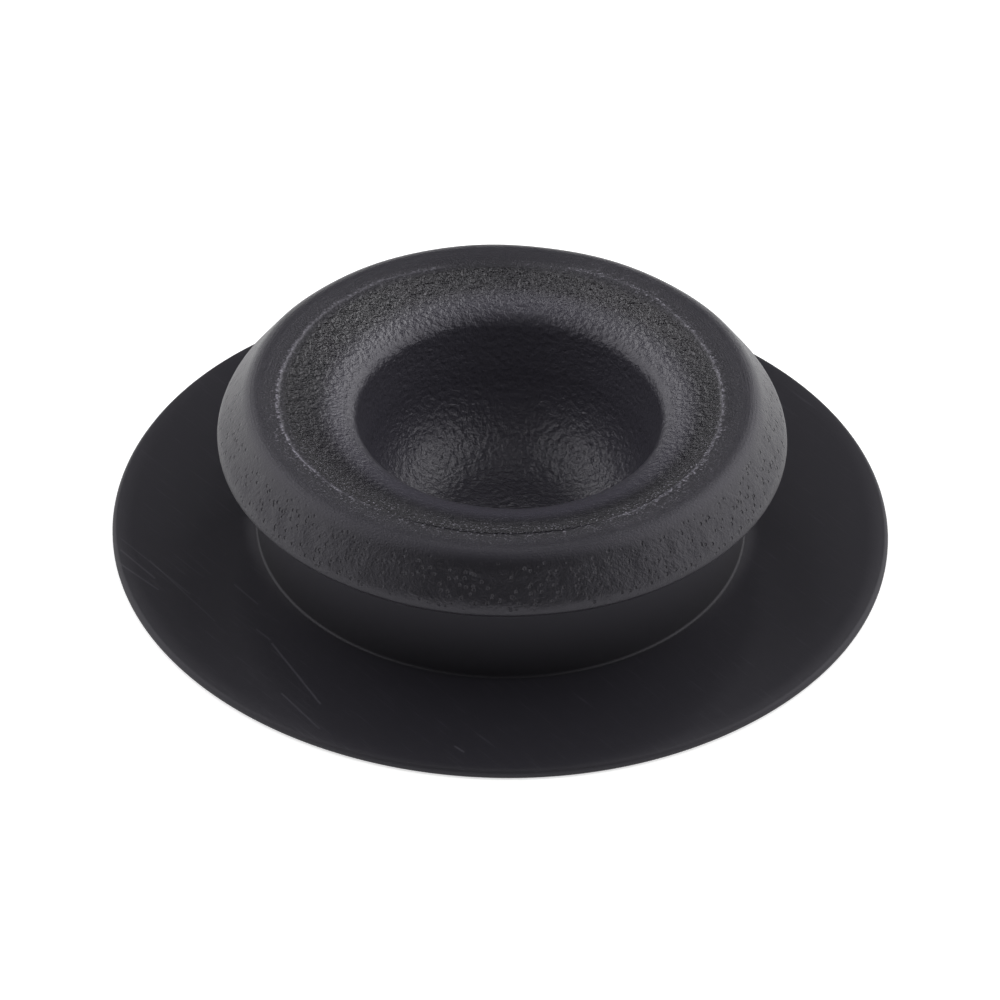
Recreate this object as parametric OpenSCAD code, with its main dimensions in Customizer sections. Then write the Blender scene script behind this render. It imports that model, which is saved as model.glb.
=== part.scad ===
// Closed rubber grommet: a wide thin flange, a short neck that fills a round
// panel hole, and a head whose bead snaps through the hole and holds the panel.
// The head is open on top as a deep round bowl, and nothing goes right through.
// It is one moulding, turned about Z. Z = 0 is the flat outer face of the flange.

/* [Flange] */
// Diameter of the flange
flange_d = 39; // [34:0.5:46]
// Thickness of the flange
flange_t = 0.5; // [0.4:0.05:1.2]
// Rounding of the flange's rim, on both faces
flange_rim_r = 0.22; // [0.1:0.02:0.5]

/* [Neck] */
// Diameter of the neck, which fills the hole in the panel
neck_d = 24.4; // [23.4:0.1:25.4]
// Height of the groove between the flange and the bead
groove_h = 5.1; // [2:0.1:10]
// Fillet where the neck meets the flange and the bead
root_r = 0.2; // [0.1:0.05:0.4]

/* [Bead] */
// Diameter over the bead
bead_d = 28.5; // [27.6:0.1:29]
// How far the bead's underside climbs on its way out
bead_climb = 0.3; // [0:0.05:0.5]
// Rounding of the bead's lower edge
bead_edge_r = 0.25; // [0.1:0.05:0.3]
// Height of the bead's upright side
bead_side_h = 0.65; // [0.6:0.05:1.2]
// How far the upright side leans in by its top
bead_lean = 0.05; // [0:0.05:0.2]
// Rounding between the upright side and the lead-in slope
bead_side_r = 1.3; // [0.5:0.1:1.4]

/* [Head] */
// Height of the head's shoulder above the groove
head_h = 3.15; // [2.9:0.05:4]
// Diameter over the shoulder, where the lead-in slope ends
shoulder_d = 25.3; // [24.9:0.1:26.2]
// Rounding of the shoulder
shoulder_r = 1; // [0.4:0.1:1.6]
// Diameter of the mould line on top of the head
mould_line_d = 22.2; // [21.2:0.1:22.8]
// How far the head has sunk from its shoulder to the mould line
mould_line_dip = 0.25; // [0.05:0.05:0.4]
// Width of the ridge that the mould line leaves
mould_line_w = 0.24; // [0.1:0.02:0.4]
// Height of the ridge that the mould line leaves
mould_line_h = 0.06; // [0.02:0.01:0.12]

/* [Bowl] */
// Diameter where the head bends down towards the bowl
lip_d = 17.7; // [17.2:0.1:18.4]
// How far the head has sunk from the mould line to that place
lip_dip = 0.35; // [0.25:0.05:0.45]
// Rounding of that bend
lip_r = 6; // [2:0.5:8]
// Diameter of the bowl's mouth, where its wall turns steep
mouth_d = 15.2; // [14.6:0.1:15.4]
// Depth of the mouth below the mould line
mouth_dip = 0.8; // [0.65:0.05:0.95]
// Rounding of the mouth
mouth_r = 0.4; // [0.2:0.05:0.8]
// Diameter of the bowl at the foot of its wall
bowl_d = 13.8; // [13:0.1:14.4]
// Rounding between the bowl's wall and its floor
bowl_r = 3.2; // [2:0.1:4]
// Thickness of rubber under the middle of the bowl
floor_t = 0.65; // [0.4:0.05:2]

/* [Hidden] */

rubber = [0.07, 0.07, 0.075];
// Steps round a full turn, and degrees for each step of a rounding
turn_steps = 180;
arc_step = 5;

// Heights above the flange's outer face
groove_z = flange_t + groove_h;
bead_z = groove_z + bead_climb;
side_z = bead_z + bead_side_h;
shoulder_z = groove_z + head_h;
mould_z = shoulder_z - mould_line_dip;
lip_z = mould_z - lip_dip;
mouth_z = mould_z - mouth_dip;

// The rim's rounding stays a little under half of the flange
rim_r = min(flange_rim_r, 0.45 * flange_t);

// Half of the section, from the axis round the outside and back to the axis.
// Each corner is [distance from the axis, height, rounding].
section = [
    [0, 0, 0],
    [flange_d / 2, 0, rim_r],
    [flange_d / 2, flange_t, rim_r],
    [neck_d / 2, flange_t, root_r],
    [neck_d / 2, groove_z, root_r],
    [bead_d / 2, bead_z, bead_edge_r],
    [bead_d / 2 - bead_lean, side_z, bead_side_r],
    [shoulder_d / 2, shoulder_z, shoulder_r],
    [(mould_line_d + mould_line_w) / 2, mould_z, 0],
    [mould_line_d / 2, mould_z + mould_line_h, 0],
    [(mould_line_d - mould_line_w) / 2, mould_z, 0],
    [lip_d / 2, lip_z, lip_r],
    [mouth_d / 2, mouth_z, mouth_r],
    [bowl_d / 2, floor_t, bowl_r],
    [0, floor_t, 0]
];

function unit(v) = v / norm(v);

// One corner of an outline, rounded between the corners before and after it
function round_corner(before, corner, after, r) =
    let (to_before = unit(before - corner),
         to_after = unit(after - corner),
         half = acos(to_before * to_after) / 2,
         centre = corner + unit(to_before + to_after) * r / sin(half),
         spoke = corner + to_before * r / tan(half) - centre,
         start = atan2(spoke.y, spoke.x),
         turn = (180 - 2 * half) * sign(cross(to_after, to_before)),
         steps = ceil(abs(turn) / arc_step))
    [for (i = [0 : steps])
        centre + r * [cos(start + turn * i / steps), sin(start + turn * i / steps)]];

function flat(corner) = [corner.x, corner.y];

// An outline with every corner rounded by its own third number
function rounded(outline) =
    [for (i = [0 : len(outline) - 1])
        each outline[i].z == 0
            ? [flat(outline[i])]
            : round_corner(flat(outline[i - 1]), flat(outline[i]),
                           flat(outline[i + 1]), outline[i].z)];

module grommet() {
    color(rubber)
        rotate_extrude($fn = turn_steps)
            polygon(rounded(section));
}

grommet();
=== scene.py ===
"""A closed rubber grommet in black rubber, head up on a white floor.

The grommet is one moulding, so it is one surface: a half section carried round
the Z axis, with the small unevenness of real rubber added along its normals.
Its finish, with light and shade painted into its colour, and its fine relief are one
material, which reads from the mesh's own attributes where each point lies along the
section and beside the mould line.
Lengths are written in millimetres and made metres where the mesh is built.
"""
from math import acos, atan2, cos, pi, radians, sin, tan

import bpy
import numpy as np
from mathutils import Matrix, Vector


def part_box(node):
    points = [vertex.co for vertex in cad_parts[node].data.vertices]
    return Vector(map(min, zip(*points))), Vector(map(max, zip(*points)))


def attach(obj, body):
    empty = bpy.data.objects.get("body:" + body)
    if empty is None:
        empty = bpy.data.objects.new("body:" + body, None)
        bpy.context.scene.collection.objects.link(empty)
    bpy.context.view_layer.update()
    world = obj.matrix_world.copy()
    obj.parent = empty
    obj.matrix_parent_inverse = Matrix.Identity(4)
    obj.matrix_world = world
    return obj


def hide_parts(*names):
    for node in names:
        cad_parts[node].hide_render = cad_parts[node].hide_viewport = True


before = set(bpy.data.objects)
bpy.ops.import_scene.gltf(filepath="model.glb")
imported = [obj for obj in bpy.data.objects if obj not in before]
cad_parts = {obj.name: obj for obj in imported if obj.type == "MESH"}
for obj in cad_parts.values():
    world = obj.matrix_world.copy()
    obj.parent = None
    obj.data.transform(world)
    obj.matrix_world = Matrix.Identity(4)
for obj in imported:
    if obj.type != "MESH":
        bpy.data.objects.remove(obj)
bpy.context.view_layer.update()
grommet_low, grommet_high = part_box("grommet")

MM = 0.001

# The flange, the neck and the bead. The fillet is a little finer than the CAD part's.
flange_r = grommet_high.x / MM
flange_t = 0.5
rim_round = 0.22
neck_r = 12.2
groove_h = 5.1
root_round = 0.14
bead_r = 14.25
bead_climb = 0.3
bead_edge_round = 0.25
bead_side_h = 0.65
bead_lean = 0.05
bead_side_round = 1.3

# The head, its mould line and its bowl, whose roundings are larger than the CAD part's
head_h = 3.15
shoulder_r = 12.65
shoulder_round = 1.0
mould_line_r = 11.1
mould_line_dip = 0.25
lip_r = 8.85
lip_dip = 0.35
lip_round = 6.0
mouth_r = 7.6
mouth_dip = 0.8
mouth_round = 0.8
bowl_r = 6.9
bowl_round = 4.2
floor_t = 0.65

groove_z = flange_t + groove_h
bead_z = groove_z + bead_climb
side_z = bead_z + bead_side_h
shoulder_z = groove_z + head_h
mould_z = shoulder_z - mould_line_dip
lip_z = mould_z - lip_dip
mouth_z = mould_z - mouth_dip

# Half of the section as corners: name, distance from the axis, height, rounding
SECTION = [
    ("underside centre", 0, 0, 0),
    ("lower rim", flange_r, 0, rim_round),
    ("upper rim", flange_r, flange_t, rim_round),
    ("neck foot", neck_r, flange_t, root_round),
    ("neck top", neck_r, groove_z, root_round),
    ("bead edge", bead_r, bead_z, bead_edge_round),
    ("bead side", bead_r - bead_lean, side_z, bead_side_round),
    ("shoulder", shoulder_r, shoulder_z, shoulder_round),
    ("mould line", mould_line_r, mould_z, 0),
    ("lip", lip_r, lip_z, lip_round),
    ("mouth", mouth_r, mouth_z, mouth_round),
    ("bowl foot", bowl_r, floor_t, bowl_round),
    ("bowl centre", 0, floor_t, 0),
]

# The mesh: columns round the axis, rows along the section, and how rows are shared out
COLUMNS = 512
ROWS = 192
ARC_STEPS = 40
FINE_STEP = 0.01
ROW_STEP_BELOW = 0.6
ROW_STEP_HEAD = 0.14
ROW_TURN = radians(12)
ROWS_ON_MOULD_LINE = 14
MOULD_LINE_REACH = 0.6

# The bowl was moulded a little off the axis: to the right and forwards
BOWL_OFF_RIGHT = 0.33
BOWL_OFF_BACK = -0.08
BOWL_OFF_FROM = 10.8
BOWL_OFF_FULL = 9.2

# How much the rim of the flange and the head wave round the axis
RIM_WAVE = 0.02
RIM_WAVE_REACH = 2.5
RIM_SINK = 0.01
HEAD_WAVE = 0.015

# The waves themselves: seed, lowest and highest order
RIM_ORDERS = (4, 2, 7)
HEAD_ORDERS = (5, 3, 14)
LINE_COARSE_ORDERS = (1, 5, 20)
LINE_FINE_ORDERS = (2, 30, 90)

# The mould line's own run, by azimuth: 0 is the back, 90 the right, 180 the front.
# How far it lies outside its circle, how high its ridge is, and how grainy it is. The ridge's
# height also sets its painted highlight, and the grain sets where grains get painted glints.
MOULD_LINE_RUN = [
    (0, 0.00, 0.000, 0.1),
    (12, 0.10, 0.005, 0.3),
    (22, 0.33, 0.022, 0.8),
    (40, 0.35, 0.022, 0.8),
    (55, 0.13, 0.030, 0.7),
    (85, 0.00, 0.045, 0.8),
    (120, 0.00, 0.070, 1.0),
    (145, -0.05, 0.055, 0.9),
    (158, -0.24, -0.040, 0.6),
    (172, -0.37, -0.070, 0.6),
    (200, -0.38, -0.060, 0.7),
    (215, -0.29, 0.010, 0.8),
    (228, -0.10, 0.060, 1.0),
    (250, 0.04, 0.080, 1.0),
    (275, 0.00, 0.060, 0.7),
    (290, 0.00, 0.028, 0.3),
    (312, 0.11, 0.024, 0.3),
    (328, 0.15, 0.024, 0.3),
    (342, 0.00, 0.022, 0.2),
    (346, 0.00, 0.000, 0.1),
]
MOULD_LINE_OFF_LEFT = 0.14
MOULD_LINE_WANDER = 0.02

# The columns of that table, and of the two-column tables below
OUTSIDE, CREST, GRAIN = 1, 2, 3
SHARE = 1

# The ridge on the mould line: a bell over a ragged place, base^-(place / width)^2, whose
# height varies round its gain
RIDGE_WIDTH = 0.09
RIDGE_BASE = 2.718
RIDGE_GAIN = 1.7
RAGGED_BY_GRIT = 0.10
RAGGED_BY_SAND = 0.08

# The grain lies thickly on the mould line, and beside it most of all at the front
GRAIN_ON_LINE = 0.22
GRAIN_BESIDE = 0.9
GRAIN_BESIDE_LEAST = 0.2

# Scratches on the flange: start x and y, run along x and y, width, strength
SCRATCHES = [
    (-11.2, -9.9, 2.5, -4.6, 0.10, 1.0),
    (-10.6, -13.8, 1.9, -2.6, 0.10, 0.8),
    (-19.0, -2.7, 1.8, -2.2, 0.08, 0.9),
    (-18.9, -3.9, 1.9, -1.9, 0.08, 0.9),
    (-13.2, -5.3, 1.2, -1.5, 0.08, 0.8),
    (-12.0, -8.8, 0.7, -0.8, 0.08, 0.8),
    (-2.0, -17.6, 0.4, -0.4, 0.10, 1.0),
    (-19.0, -1.8, 3.6, -4.3, 0.06, 0.6),
    (-17.5, -3.5, 3.4, -4.7, 0.06, 0.6),
]
BRUSHED_HEADING = radians(-50)
BRUSHED_STRETCH = (0.35, 7.0, 0.0)
BRUSHED_EDGE = (0.15, 0.6)
BRUSHED_SHARE = 0.5

# Where the bead is pitted, by azimuth: how thickly. Along the section, from the bead's
# side, where the pits begin, are all there, begin to thin and end.
BEAD_PITS = [(0, 0.2), (60, 0.4), (95, 1.0), (165, 1.0), (200, 0.6), (228, 0.9), (250, 0.6),
             (300, 0.3), (360, 0.2)]
PITTED_SPAN = (-0.4, 0.2, 1.5, 2.4)

# How glossy the skin of the lip is, by azimuth: a share of the coat
LIP_GLOSS = [(0, 0.3), (22, 0.7), (45, 1.15), (90, 0.6), (135, 0.25), (180, 0.1), (225, 0.2),
             (270, 0.55), (315, 1.25), (338, 0.7)]

# The gloss is whole again this far inside the mouth of the bowl
GLOSS_IN_BOWL = 1.0

# An edge is where a soft change begins and ends, and then its two values if not 0 and 1.
# The orange peel begins inside the mould line, and is strongest at the back.
PEEL_FROM = 0.3
PEEL_EDGE = (0.1, 0.5)
PEEL_LEAST = 0.15
PEEL_CHANGE = 0.6

# Fine patterns in the rubber: cycles per millimetre, detail, roughness
PEEL_NOISE = (3.3, 3.0, 0.55)
GRIT_NOISE = (5.0, 2.0, 0.6)
SAND_NOISE = (9.0, 3.0, 0.6)
DUST_NOISE = (16.0, 2.0, 0.6)
SWELL_NOISE = (0.9, 1.0, 0.5)
PITS_PER_MM = 2.8
PIT_EDGE = (0.14, 0.32, 1.0, 0.0)
HOOPS_PER_TURN = 3.0
HOOPS_PER_MM = 14.0
HOOP_DETAIL = 3.0
HOOP_ROUGHNESS = 0.6

# How high or deep each kind of fine relief is
PEEL_ON_LAND = 0.12
PEEL_IN_BOWL = 0.065
GRAIN_HEIGHT = 0.10
HOOP_HEIGHT = 0.012
PIT_DEPTH = 0.10
BEAD_GRIT = 0.03
BEAD_SWELL = 0.07
HEAD_SKIN = 0.014
DUST_HEIGHT = 0.0012

# How much paler the colour is made: a painted highlight on the mould line, painted glints on
# grains, and real scuffs in scratches
LINE_PAINTED_HIGHLIGHT = 1.45
LINE_HIGHLIGHT_BREAK_EDGE = (-0.5, 0.5, 0.1, 2.0)
GRAIN_PAINTED_GLINT = 0.3
GRAIN_GLINT_EDGE = (0.14, 0.36)
SCRATCH_SCUFF = 0.022
SCRATCH_AND_HIGHLIGHT_TINT = (1.0, 0.96, 1.12)

# Bands along the section keep this far off a corner, and have soft edges this wide
BAND_MARGIN = 0.3
BAND_BLUR = 0.2

# The finish, with the light and shade painted into its colour, is given from the underside's
# centre to this far past the bowl's foot
FINISH_BEYOND = 8.0
RUBBER_TINT = (1.0, 0.95, 1.2)
PLAIN = (1.0, 1.0, 1.0)
SHEEN_TINT = (0.93, 0.90, 1.0, 1.0)
RUBBER_IOR = 1.5
COAT_ROUGHNESS = 0.10

# The camera, worked out from how the flange and the mould line appear
CAMERA_ELEVATION = radians(38.4)
CAMERA_ROLL = radians(1.1)
CAMERA_DISTANCE = 520
CAMERA_SENSOR = 36.0
CAMERA_LENS = 372.3
CAMERA_NEAR = 0.01
CAMERA_FAR = 10.0
AIM_LEFT = 0.05
AIM_UP = 1.2

# The softboxes: name, azimuth, elevation, level. Their sizes and distance are in metres.
SOFTBOXES = [
    ("softbox_left", -71, 27, 1.52),
    ("softbox_right", 71, 27, 1.85),
]
SOFTBOX_WIDTH = 1.10
SOFTBOX_HEIGHT = 0.84
SOFTBOX_DISTANCE = 0.55

# The floor and the dark dome, in metres, and the even light of the world
FLOOR_REACH = 2.2
FLOOR_CORNERS = 96
FLOOR_GREY = 0.8
FLOOR_GLOW = 0.5
WORLD_LIGHT = 0.5
DOME_REACH = 0.9
DOME_STEPS = 24
DOME_TOP = 0.97
WHITE = (1, 1, 1, 1)
BLACK = (0, 0, 0, 1)


def arc(before, corner, after, radius):
    """Points of the arc that rounds one corner.

    Its centre lies on the corner's bisector, radius / sin(half the angle) away, and
    it turns through 180 degrees less the angle between the two sides.
    """
    to_before = (before - corner) / np.linalg.norm(before - corner)
    to_after = (after - corner) / np.linalg.norm(after - corner)
    half = acos(to_before @ to_after) / 2
    bisector = (to_before + to_after) / np.linalg.norm(to_before + to_after)
    centre = corner + bisector * radius / sin(half)
    spoke = corner + to_before * radius / tan(half) - centre
    across = to_after[0] * to_before[1] - to_after[1] * to_before[0]
    turn = np.sign(across) * np.linspace(0, pi - 2 * half, ARC_STEPS)
    start = atan2(spoke[1], spoke[0])
    return centre + radius * np.stack([np.cos(start + turn), np.sin(start + turn)], axis=1)


def outline():
    """The rounded half section in fine steps: length along it, distance, height.

    Also gives the length along the section at which each named corner lies.
    """
    places = np.array([corner[1:3] for corner in SECTION], dtype=float)
    pieces = []
    for index, (_, _, _, radius) in enumerate(SECTION):
        if radius:
            pieces.append(arc(places[index - 1], places[index], places[index + 1], radius))
        else:
            pieces.append(places[index:index + 1])
    points = np.concatenate(pieces)
    steps = np.hypot(*np.diff(points, axis=0).T)
    along = np.concatenate([[0], np.cumsum(steps)])
    ends = np.cumsum([len(piece) for piece in pieces])
    middles = [end - (len(piece) + 1) // 2 for end, piece in zip(ends, pieces)]
    marks = {corner[0]: float(along[middle]) for corner, middle in zip(SECTION, middles)}
    fine = np.union1d(np.arange(0, along[-1], FINE_STEP), along)
    return fine, np.interp(fine, along, points[:, 0]), np.interp(fine, along, points[:, 1]), marks


def smooth_step(values, low, high):
    """0 below low, 1 above high, and 3t^2 - 2t^3 between them."""
    t = np.clip((values - low) / (high - low), 0, 1)
    return t * t * (3 - 2 * t)


def shared_rows(along, distance, height, marks):
    """Length along, distance, height and outward normal for each row of the mesh.

    Rows are spread by a weight that grows with the length over the row step, with the
    turning over the row turn, and by a fixed number of rows on the mould line.
    """
    tangent = np.arctan2(np.gradient(height, along), np.gradient(distance, along))
    turning = np.abs(np.diff(np.unwrap(tangent)))
    middle = (along[1:] + along[:-1]) / 2
    step = np.where(middle > marks["neck top"], ROW_STEP_HEAD, ROW_STEP_BELOW)
    near_line = np.abs(middle - marks["mould line"]) < MOULD_LINE_REACH
    weight = np.diff(along) / step + turning / ROW_TURN
    weight += near_line * np.diff(along) * ROWS_ON_MOULD_LINE / (2 * MOULD_LINE_REACH)
    summed = np.concatenate([[0], np.cumsum(weight)])
    rows = np.interp(np.linspace(0, summed[-1], ROWS), summed, along)
    lean = np.interp(rows, along, np.unwrap(tangent))
    normal = np.stack([np.sin(lean), -np.cos(lean)], axis=1)
    return rows, np.interp(rows, along, distance), np.interp(rows, along, height), normal


def waves(angle, seed, lowest, highest):
    """A smooth closed wave round the axis, about -1 to 1: a sum of cosines of whole orders."""
    random = np.random.default_rng(seed)
    orders = np.arange(lowest, highest + 1)
    phases = random.uniform(0, 2 * pi, len(orders))
    sizes = random.uniform(0.5, 1, len(orders)) / np.sqrt(len(orders))
    return (sizes * np.cos(orders * angle[..., None] + phases)).sum(axis=-1)


def round_the_axis(table, column, angle):
    """One column of a table by azimuth, read off at each angle and closed on itself."""
    table = np.array(table)
    azimuth = np.degrees(pi / 2 - angle) % 360
    return np.interp(azimuth, table[:, 0], table[:, column], period=360)


def line_place(rows, angle, marks):
    """How far each point lies inside the mould line's own wandering run, in millimetres."""
    outside = round_the_axis(MOULD_LINE_RUN, OUTSIDE, angle) - MOULD_LINE_OFF_LEFT * np.cos(angle)
    wander = (MOULD_LINE_WANDER * waves(angle, *LINE_COARSE_ORDERS)
              + MOULD_LINE_WANDER * waves(angle, *LINE_FINE_ORDERS))
    return rows[:, None] - marks["mould line"] + (outside + wander)[None, :]


def relief(rows, distance, angle, marks):
    """How far the rubber stands out along its normal, in millimetres, row by column.

    The rim of the flange waves a little, and the bead and the land a little less.
    """
    rim = smooth_step(distance, flange_r - RIM_WAVE_REACH, flange_r)[:, None]
    head = smooth_step(rows, marks["neck top"], marks["bead edge"])[:, None]
    return (rim * (RIM_WAVE * waves(angle, *RIM_ORDERS) - RIM_SINK)[None, :]
            + head * HEAD_WAVE * waves(angle, *HEAD_ORDERS)[None, :])


def patches(rows, angle, marks):
    """The mesh's own values, row by column: its places, and how strongly each finish shows.

    The grain falls off from the mould line as exp(-(place / reach)^2), the pits keep to
    the bead's side, and the peel lies inside the mould line, weaker towards the front.
    """
    place = line_place(rows, angle, marks)
    everywhere = np.ones((len(rows), len(angle)))
    grain = round_the_axis(MOULD_LINE_RUN, GRAIN, angle)[None, :]
    front = np.clip(-np.sin(angle), 0, 1)[None, :]
    back = 0.5 + 0.5 * np.sin(angle)[None, :]
    near = np.exp(-(place / GRAIN_ON_LINE) ** 2)
    beside = np.exp(-(place / GRAIN_BESIDE) ** 2) * (1 - near)
    side, line, lip = marks["bead side"], marks["mould line"], marks["lip"]
    begin, thick, thin, end = (side + offset for offset in PITTED_SPAN)
    bead = smooth_step(rows, begin, thick) * (1 - smooth_step(rows, thin, end))
    inside = smooth_step(rows, line + PEEL_FROM, lip)[:, None]
    return {
        "along": everywhere * rows[:, None],
        "place": place,
        "crest": everywhere * round_the_axis(MOULD_LINE_RUN, CREST, angle),
        "gloss": everywhere * round_the_axis(LIP_GLOSS, SHARE, angle),
        "grit": grain * (near + beside * (GRAIN_BESIDE_LEAST + (1 - GRAIN_BESIDE_LEAST) * front)),
        "pitted": bead[:, None] * round_the_axis(BEAD_PITS, SHARE, angle)[None, :],
        "peel": (np.maximum(inside, smooth_step(place, *PEEL_EDGE))
                 * (PEEL_LEAST + (1 - PEEL_LEAST) * back)),
    }


def pole_to_pole(grid):
    """A grid of rows and columns as one list, with the first and last rows as one point."""
    return np.concatenate([grid[:1, 0], grid[1:-1].reshape(-1, *grid.shape[2:]), grid[-1:, 0]])


def grommet_surface():
    """The grommet's mesh: row by row along the section, column by column round the axis.

    A point is the section's own point moved along its normal by the relief, then turned
    about Z by the column's angle. The first and last rows are single points on the axis.
    """
    along, distance, height, marks = outline()
    rows, row_distance, row_height, normal = shared_rows(along, distance, height, marks)
    angle = np.linspace(0, 2 * pi, COLUMNS, endpoint=False)
    out = relief(rows, row_distance, angle, marks)
    reach = row_distance[:, None] + normal[:, :1] * out
    level = row_height[:, None] + normal[:, 1:] * out
    share = 1 - smooth_step(row_distance, BOWL_OFF_FULL, BOWL_OFF_FROM)
    share = (share * (rows > marks["mould line"]))[:, None]
    grid = np.stack([reach * np.cos(angle) + share * BOWL_OFF_RIGHT,
                     reach * np.sin(angle) + share * BOWL_OFF_BACK, level], axis=2)
    values = {name: pole_to_pole(value) for name, value in patches(rows, angle, marks).items()}
    return pole_to_pole(grid) * MM, values, marks


def ring_faces():
    """Corner numbers of the faces: quads between rings, and a fan at each end."""
    column = np.arange(COLUMNS)
    following = (column + 1) % COLUMNS
    first = 1 + np.arange(ROWS - 3)[:, None] * COLUMNS
    quads = np.stack([first + column, first + following, first + COLUMNS + following,
                      first + COLUMNS + column], axis=2).reshape(-1, 4)
    last = 1 + (ROWS - 2) * COLUMNS
    lower_fan = np.stack([np.zeros(COLUMNS, int), 1 + following, 1 + column], axis=1)
    ring = last - COLUMNS
    upper_fan = np.stack([ring + column, ring + following, np.full(COLUMNS, last)], axis=1)
    return quads, np.concatenate([lower_fan, upper_fan])


def make_mesh(name, points, quads, triangles):
    """A mesh filled from whole arrays of points and of face corners."""
    mesh = bpy.data.meshes.new(name)
    corners = np.concatenate([quads.ravel(), triangles.ravel()])
    sizes = np.concatenate([np.full(len(quads), 4), np.full(len(triangles), 3)])
    mesh.vertices.add(len(points))
    mesh.vertices.foreach_set("co", points.ravel())
    mesh.loops.add(len(corners))
    mesh.loops.foreach_set("vertex_index", corners)
    mesh.polygons.add(len(sizes))
    mesh.polygons.foreach_set("loop_start", np.cumsum(sizes) - sizes)
    mesh.update(calc_edges=True)
    mesh.validate()
    mesh.shade_smooth()
    return mesh


def new_object(name, data):
    """An object of the scene, at the origin."""
    piece = bpy.data.objects.new(name, data)
    bpy.context.scene.collection.objects.link(piece)
    return piece


def make_grommet():
    """The grommet as one object that stands for the CAD part."""
    points, values, marks = grommet_surface()
    mesh = make_mesh("grommet_rubber", points, *ring_faces())
    for name, value in values.items():
        attribute = mesh.attributes.new(name, "FLOAT", "POINT")
        attribute.data.foreach_set("value", value.astype(np.float32))
    piece = new_object("grommet_rubber", mesh)
    piece.data.materials.append(rubber(marks))
    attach(piece, "root")
    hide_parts("grommet")


def blank_tree(owner):
    """The empty node tree of a new material or world."""
    owner.use_nodes = True
    owner.node_tree.nodes.clear()
    return owner.node_tree


def join(tree, value, socket):
    """Give a socket a link from another socket, or a constant."""
    if isinstance(value, bpy.types.NodeSocket):
        tree.links.new(value, socket)
    else:
        socket.default_value = value


def add(tree, kind, output=0, settings=None, **inputs):
    """Add a node, with its inputs by name, and give one of its outputs."""
    node = tree.nodes.new(kind)
    for name, value in (settings or {}).items():
        setattr(node, name, value)
    for name, value in inputs.items():
        join(tree, value, node.inputs[name.replace("_", " ")])
    return node.outputs[output]


def show(tree, surface, kind="ShaderNodeOutputMaterial"):
    """Make a shader what the material or the world shows."""
    output = tree.nodes.new(kind)
    tree.links.new(surface, output.inputs["Surface"])


def read(tree, name):
    """One of the mesh's own values."""
    return add(tree, "ShaderNodeAttribute", 2, {"attribute_name": name})


def split(tree, vector):
    """The X and Y of a vector."""
    node = tree.nodes.new("ShaderNodeSeparateXYZ")
    tree.links.new(vector, node.inputs[0])
    return node.outputs[0], node.outputs[1]


def maths(tree, operation, *values):
    """A Math node on one, two or three values."""
    node = tree.nodes.new("ShaderNodeMath")
    node.operation = operation
    for socket, value in zip(node.inputs, values):
        join(tree, value, socket)
    return node.outputs[0]


def vector_maths(tree, operation, first, second, output=0):
    """A Vector Math node on two vectors, or on a vector and the number that scales it."""
    node = tree.nodes.new("ShaderNodeVectorMath")
    node.operation = operation
    join(tree, first, node.inputs[0])
    join(tree, second, node.inputs["Scale" if operation == "SCALE" else 1])
    return node.outputs[output]


def total(tree, *values):
    """The sum of several values."""
    result = values[0]
    for value in values[1:]:
        result = maths(tree, "ADD", result, value)
    return result


def times(tree, *values):
    """The product of several values."""
    result = values[0]
    for value in values[1:]:
        result = maths(tree, "MULTIPLY", result, value)
    return result


def ease(tree, value, low, high, start=0.0, end=1.0):
    """A smooth change from start, where the value is low, to end, where it is high."""
    return add(tree, "ShaderNodeMapRange", 0, {"interpolation_type": "SMOOTHSTEP"}, Value=value,
               From_Min=low, From_Max=high, To_Min=start, To_Max=end)


def band(tree, value, start, end, blur):
    """1 between start and end and 0 outside, with soft edges."""
    rise = ease(tree, value, start - blur, start + blur)
    fall = ease(tree, value, end - blur, end + blur, 1.0, 0.0)
    return times(tree, rise, fall)


def noise(tree, vector, scale, detail=2.0, roughness=0.5):
    """Noise about 0, from about -1 to 1."""
    value = add(tree, "ShaderNodeTexNoise", 0, Vector=vector, Scale=scale, Detail=detail,
                Roughness=roughness)
    return maths(tree, "MULTIPLY_ADD", value, 2.0, -1.0)


def hoop_noise(tree, in_mm, along):
    """Noise drawn out round the axis, as fine hoops across the section."""
    x, y = split(tree, in_mm)
    flat = add(tree, "ShaderNodeCombineXYZ", 0, X=x, Y=y)
    unit = add(tree, "ShaderNodeVectorMath", 0, {"operation": "NORMALIZE"}, Vector=flat)
    x, y = split(tree, unit)
    vector = add(tree, "ShaderNodeCombineXYZ", 0, X=times(tree, x, HOOPS_PER_TURN),
                 Y=times(tree, y, HOOPS_PER_TURN), Z=times(tree, along, HOOPS_PER_MM))
    return noise(tree, vector, 1.0, HOOP_DETAIL, HOOP_ROUGHNESS)


def scratch_group():
    """A node group that gives 1 on one straight scratch and 0 away from it.

    The distance from the line is |p - t run|, where p is the place less the start and
    t is p . run / run . run, kept between 0 and 1.
    """
    group = bpy.data.node_groups.new("scratch", "ShaderNodeTree")
    for name in ("Place", "Start", "Run"):
        group.interface.new_socket(name, in_out="INPUT", socket_type="NodeSocketVector")
    group.interface.new_socket("Width", in_out="INPUT", socket_type="NodeSocketFloat")
    group.interface.new_socket("Mask", in_out="OUTPUT", socket_type="NodeSocketFloat")
    inside = group.nodes.new("NodeGroupInput")
    place, start, run, width = inside.outputs[:4]
    p = vector_maths(group, "SUBTRACT", place, start)
    t = maths(group, "DIVIDE", vector_maths(group, "DOT_PRODUCT", p, run, 1),
              vector_maths(group, "DOT_PRODUCT", run, run, 1))
    kept = add(group, "ShaderNodeClamp", 0, Value=t, Min=0.0, Max=1.0)
    away = vector_maths(group, "DISTANCE", p, vector_maths(group, "SCALE", run, kept), 1)
    result = group.nodes.new("NodeGroupOutput")
    group.links.new(ease(group, away, 0.0, width, 1.0, 0.0), result.inputs[0])
    return group


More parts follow.
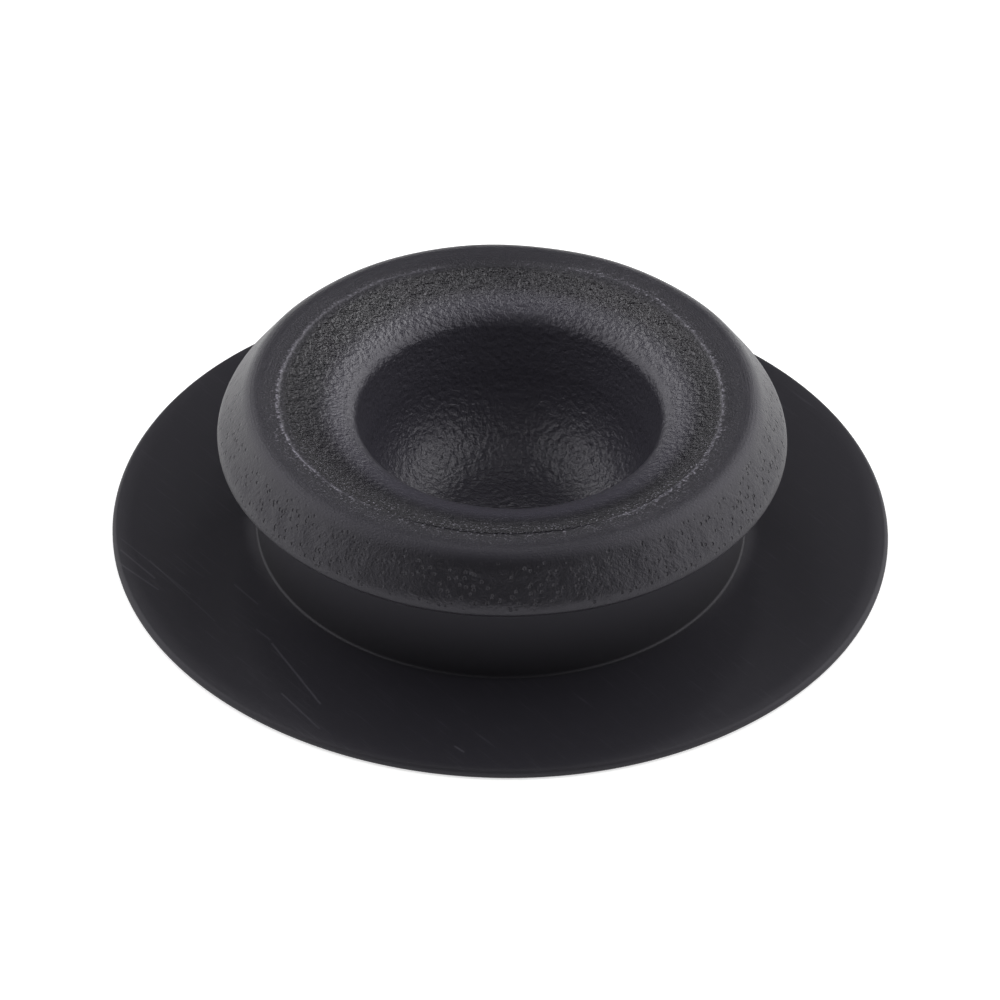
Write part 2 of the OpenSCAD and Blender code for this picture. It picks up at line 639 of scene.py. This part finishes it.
def scratches(tree, in_mm):
    """The flange's scratches: the few long ones, and a faint field of fine ones."""
    group = scratch_group()
    masks = []
    for x, y, run_x, run_y, width, strength in SCRATCHES:
        node = tree.nodes.new("ShaderNodeGroup")
        node.node_tree = group
        tree.links.new(in_mm, node.inputs["Place"])
        node.inputs["Start"].default_value = (x, y, flange_t)
        node.inputs["Run"].default_value = (run_x, run_y, 0)
        node.inputs["Width"].default_value = width
        masks.append(times(tree, node.outputs["Mask"], strength))
    turned = add(tree, "ShaderNodeVectorRotate", 0, {"rotation_type": "Z_AXIS"}, Vector=in_mm,
                 Angle=-BRUSHED_HEADING)
    drawn = vector_maths(tree, "MULTIPLY", turned, BRUSHED_STRETCH)
    fine = ease(tree, noise(tree, drawn, 1.0), *BRUSHED_EDGE)
    return total(tree, *masks, times(tree, fine, BRUSHED_SHARE))


def finish_and_painted_light_rows(marks):
    """The finish along the section: place, grey of the rubber, roughness and coat.

    The grey holds painted shade and painted light: it is darkest in the corners at the rim
    and the neck's foot and on the land, and palest on the lip and in the bowl. The lip is
    glossy, and the coat comes back where the bowl's floor begins.
    """
    low_rim, rim = marks["lower rim"], marks["upper rim"]
    foot, top = marks["neck foot"], marks["neck top"]
    edge, side = marks["bead edge"], marks["bead side"]
    shoulder, line, lip = marks["shoulder"], marks["mould line"], marks["lip"]
    mouth, bowl = marks["mouth"], marks["bowl foot"]
    return [
        (0.0, 0.017, 0.40, 0.0),
        (low_rim, 0.004, 0.70, 0.0),
        (rim - 0.15, 0.010, 0.70, 0.0),
        (rim + 0.3, 0.016, 0.34, 0.0),
        (foot - 0.3, 0.016, 0.32, 0.0),
        (foot, 0.006, 0.60, 0.0),
        (top, 0.022, 0.46, 0.0),
        (edge, 0.011, 0.46, 0.0),
        (side, 0.010, 0.46, 0.0),
        (shoulder - 0.6, 0.010, 0.42, 0.0),
        (shoulder, 0.022, 0.36, 0.0),
        (line - 0.5, 0.016, 0.33, 0.0),
        (line, 0.012, 0.32, 0.0),
        (line + 0.4, 0.003, 0.24, 0.75),
        (lip - 0.8, 0.008, 0.21, 0.8),
        (lip, 0.037, 0.20, 0.8),
        (mouth - 0.9, 0.039, 0.22, 0.75),
        (mouth - 0.1, 0.030, 0.34, 0.1),
        (mouth + 2.5, 0.041, 0.40, 0.0),
        (bowl - 1.0, 0.041, 0.30, 0.3),
        (bowl + 0.3, 0.040, 0.26, 0.6),
        (bowl + 2.4, 0.034, 0.26, 0.8),
        (bowl + 6.0, 0.022, 0.28, 0.4),
    ]


def finish_and_painted_light_along(tree, along, marks):
    """Colour with painted light and shade in it, roughness and coat along the section, each read
    off a colour ramp.
    """
    finish = finish_and_painted_light_rows(marks)
    whole = marks["bowl foot"] + FINISH_BEYOND
    share = maths(tree, "DIVIDE", along, whole)
    outputs = []
    for column, tint in ((1, RUBBER_TINT), (2, PLAIN), (3, PLAIN)):
        ramp = tree.nodes.new("ShaderNodeValToRGB")
        tree.links.new(share, ramp.inputs[0])
        stops = ramp.color_ramp.elements
        while len(stops) < len(finish):
            stops.new(1.0)
        for stop, row in zip(stops, finish):
            stop.position = row[0] / whole
            stop.color = (*(row[column] * part for part in tint), 1.0)
        outputs.append(ramp.outputs[0])
    return outputs


def rubber(marks):
    """Black rubber: a finish for each stretch of the section with painted light and shade in its
    colour, painted highlights, real scratches and fine relief.
    """
    material = bpy.data.materials.new("rubber")
    tree = blank_tree(material)
    place = add(tree, "ShaderNodeTexCoord", 3)
    in_mm = vector_maths(tree, "SCALE", place, 1 / MM)
    along = read(tree, "along")
    grit_here = read(tree, "grit")
    pits_here = read(tree, "pitted")
    crest_here = read(tree, "crest")
    rim, foot = marks["upper rim"], marks["neck foot"]
    top, edge = marks["neck top"], marks["bead edge"]
    shoulder, line = marks["shoulder"], marks["mould line"]
    lip, mouth = marks["lip"], marks["mouth"]
    # The colour along the section is the rubber's grey with painted light and shade in it
    colour, roughness, coat = finish_and_painted_light_along(tree, along, marks)
    peel = noise(tree, in_mm, *PEEL_NOISE)
    grit = noise(tree, in_mm, *GRIT_NOISE)
    sand = noise(tree, in_mm, *SAND_NOISE)
    dust = noise(tree, in_mm, *DUST_NOISE)
    swell = noise(tree, in_mm, *SWELL_NOISE)
    speck = add(tree, "ShaderNodeTexVoronoi", 0, Vector=in_mm, Scale=PITS_PER_MM)
    pits = ease(tree, speck, *PIT_EDGE)

    # The mould line: a ragged bell-shaped ridge on the line's own run
    ragged = total(tree, times(tree, grit, RAGGED_BY_GRIT), times(tree, sand, RAGGED_BY_SAND),
                   read(tree, "place"))
    power = times(tree, ragged, ragged, -1 / RIDGE_WIDTH ** 2)
    bell = maths(tree, "POWER", RIDGE_BASE, power)
    ridge = times(tree, bell, crest_here, maths(tree, "MULTIPLY_ADD", grit, 1.0, RIDGE_GAIN))

    # Paler than the rest: a painted highlight on the ridge's crest, painted glints on single
    # grains, and real scuffs in scratches
    highlight_breaks = ease(tree, total(tree, grit, sand), *LINE_HIGHLIGHT_BREAK_EDGE)
    # A painted highlight on the ridge's crest, strongest where the crest is highest
    ridge_painted_highlight = times(tree, bell, maths(tree, "MAXIMUM", crest_here, 0.0), highlight_breaks, LINE_PAINTED_HIGHLIGHT)
    # Painted glints: pale specks on single grains
    painted_glints = times(tree, ease(tree, sand, *GRAIN_GLINT_EDGE), grit_here, GRAIN_PAINTED_GLINT)
    on_flange = band(tree, along, rim, foot - BAND_MARGIN, BAND_BLUR)
    scratched = times(tree, scratches(tree, in_mm), on_flange, SCRATCH_SCUFF)
    scratches_and_painted_highlights = vector_maths(tree, "SCALE", SCRATCH_AND_HIGHLIGHT_TINT, total(tree, ridge_painted_highlight, painted_glints, scratched))

    peel_size = ease(tree, along, lip - PEEL_CHANGE, lip + PEEL_CHANGE, PEEL_ON_LAND,
                     PEEL_IN_BOWL)
    on_strip = band(tree, along, shoulder - BAND_MARGIN, line - BAND_MARGIN, BAND_BLUR)
    on_head = ease(tree, along, top, edge)
    height = total(
        tree,
        ridge,
        times(tree, peel, read(tree, "peel"), peel_size),
        times(tree, sand, grit_here, GRAIN_HEIGHT),
        times(tree, hoop_noise(tree, in_mm, along), on_strip, HOOP_HEIGHT),
        times(tree, pits, pits_here, -PIT_DEPTH),
        times(tree, grit, pits_here, BEAD_GRIT),
        times(tree, swell, pits_here, BEAD_SWELL),
        times(tree, sand, on_head, HEAD_SKIN),
        times(tree, dust, DUST_HEIGHT),
    )
    normal = add(tree, "ShaderNodeBump", 0, Height=height, Distance=MM, Strength=1.0)
    in_bowl = ease(tree, along, mouth, mouth + GLOSS_IN_BOWL)
    gloss = maths(tree, "MAXIMUM", in_bowl, read(tree, "gloss"))

    show(tree, add(tree, "ShaderNodeBsdfPrincipled", 0,
                   Base_Color=vector_maths(tree, "ADD", colour, scratches_and_painted_highlights),
                   Roughness=roughness, IOR=RUBBER_IOR, Specular_Tint=SHEEN_TINT,
                   Normal=normal, Coat_Weight=times(tree, coat, gloss),
                   Coat_Roughness=COAT_ROUGHNESS, Coat_Normal=normal))
    return material


def seen_directly(tree):
    """1 for rays from the camera, off gloss and through glass, and 0 for the rest."""
    path = tree.nodes.new("ShaderNodeLightPath")
    return maths(tree, "MAXIMUM", path.outputs["Is Camera Ray"],
                 maths(tree, "MAXIMUM", path.outputs["Is Glossy Ray"],
                       path.outputs["Is Transmission Ray"]))


def make_floor():
    """A wide white floor, which keeps the object's soft shadow."""
    angle = np.linspace(0, 2 * pi, FLOOR_CORNERS, endpoint=False)
    rim = np.stack([FLOOR_REACH * np.cos(angle), FLOOR_REACH * np.sin(angle), 0 * angle], axis=1)
    mesh = bpy.data.meshes.new("floor")
    mesh.from_pydata(rim.tolist(), [], [list(range(FLOOR_CORNERS))])
    floor = new_object("floor", mesh)
    floor.location.z = grommet_low.z
    material = bpy.data.materials.new("white_floor")
    tree = blank_tree(material)
    matt = add(tree, "ShaderNodeBsdfDiffuse", 0, Color=(FLOOR_GREY, FLOOR_GREY, FLOOR_GREY, 1))
    glow = add(tree, "ShaderNodeEmission", 0, Color=WHITE,
               Strength=times(tree, seen_directly(tree), FLOOR_GLOW))
    both = tree.nodes.new("ShaderNodeAddShader")
    tree.links.new(matt, both.inputs[0])
    tree.links.new(glow, both.inputs[1])
    show(tree, both.outputs[0])
    mesh.materials.append(material)


def make_world():
    """White for what is seen directly, and an even grey light for the rest."""
    world = bpy.data.worlds.new("white")
    bpy.context.scene.world = world
    tree = blank_tree(world)
    strength = maths(tree, "MULTIPLY_ADD", seen_directly(tree), 1 - WORLD_LIGHT, WORLD_LIGHT)
    background = add(tree, "ShaderNodeBackground", 0, Color=WHITE, Strength=strength)
    show(tree, background, "ShaderNodeOutputWorld")


def make_dark_dome():
    """A black dome out of the picture, which only reflections see: a sphere's upper half.

    Its rings climb by equal angles to just short of the top, which a flat lid closes.
    """
    across = 2 * DOME_STEPS
    turn = np.linspace(0, 2 * pi, across, endpoint=False)
    climb = np.linspace(0, pi / 2 * DOME_TOP, DOME_STEPS)
    azimuth, up = np.meshgrid(turn, climb)
    grid = DOME_REACH * np.stack([np.cos(up) * np.cos(azimuth), np.cos(up) * np.sin(azimuth),
                                  np.sin(up)], axis=2)
    column = np.arange(across)
    following = (column + 1) % across
    first = np.arange(DOME_STEPS - 1)[:, None] * across
    quads = np.stack([first + column, first + across + column,
                      first + across + following, first + following], axis=2).reshape(-1, 4)
    lid = list(range((DOME_STEPS - 1) * across, DOME_STEPS * across))
    mesh = bpy.data.meshes.new("dark_dome")
    mesh.from_pydata(grid.reshape(-1, 3).tolist(), [], quads.tolist() + [lid])
    dome = new_object("dark_dome", mesh)
    dome.visible_camera = False
    dome.visible_diffuse = False
    dome.visible_shadow = False
    material = bpy.data.materials.new("black_card")
    tree = blank_tree(material)
    show(tree, add(tree, "ShaderNodeBsdfDiffuse", 0, Color=BLACK))
    mesh.materials.append(material)


def make_softbox(name, azimuth, elevation, level):
    """An area lamp of the given brightness, facing the object.

    Azimuth 0 is straight behind the object as the camera sees it, and 90 is its right.
    """
    lamp = bpy.data.lights.new(name, "AREA")
    lamp.shape = "RECTANGLE"
    lamp.size = SOFTBOX_WIDTH
    lamp.size_y = SOFTBOX_HEIGHT
    lamp.energy = level * pi * SOFTBOX_WIDTH * SOFTBOX_HEIGHT
    softbox = new_object(name, lamp)
    azimuth, elevation = radians(azimuth), radians(elevation)
    back = Vector((sin(azimuth) * cos(elevation), cos(azimuth) * cos(elevation),
                   sin(elevation)))
    softbox.location = back * SOFTBOX_DISTANCE
    softbox.rotation_euler = back.to_track_quat("Z", "Y").to_euler()
    softbox.visible_camera = False


def make_camera():
    """The camera in front of the object, looking down at it, turned a little on its axis."""
    back = Vector((0, -cos(CAMERA_ELEVATION), sin(CAMERA_ELEVATION)))
    right = Vector((1, 0, 0))
    up = back.cross(right)
    middle = Vector((0, 0, flange_t))
    target = middle - right * AIM_LEFT + up * AIM_UP
    start = middle + back * CAMERA_DISTANCE
    back = (start - target).normalized()
    right = Vector((0, 0, 1)).cross(back).normalized()
    up = back.cross(right)
    turn = Matrix((right, up, back)).transposed() @ Matrix.Rotation(CAMERA_ROLL, 3, "Z")
    camera = bpy.data.cameras.new("camera")
    camera.sensor_width = CAMERA_SENSOR
    camera.lens = CAMERA_LENS
    camera.clip_start = CAMERA_NEAR
    camera.clip_end = CAMERA_FAR
    view = new_object("camera", camera)
    view.matrix_world = Matrix.Translation(start * MM) @ turn.to_4x4()
    bpy.context.scene.camera = view


make_camera()
make_grommet()
make_floor()
make_world()
make_dark_dome()
for softbox_row in SOFTBOXES:
    make_softbox(*softbox_row)
bpy.context.scene.view_settings.view_transform = "Standard"
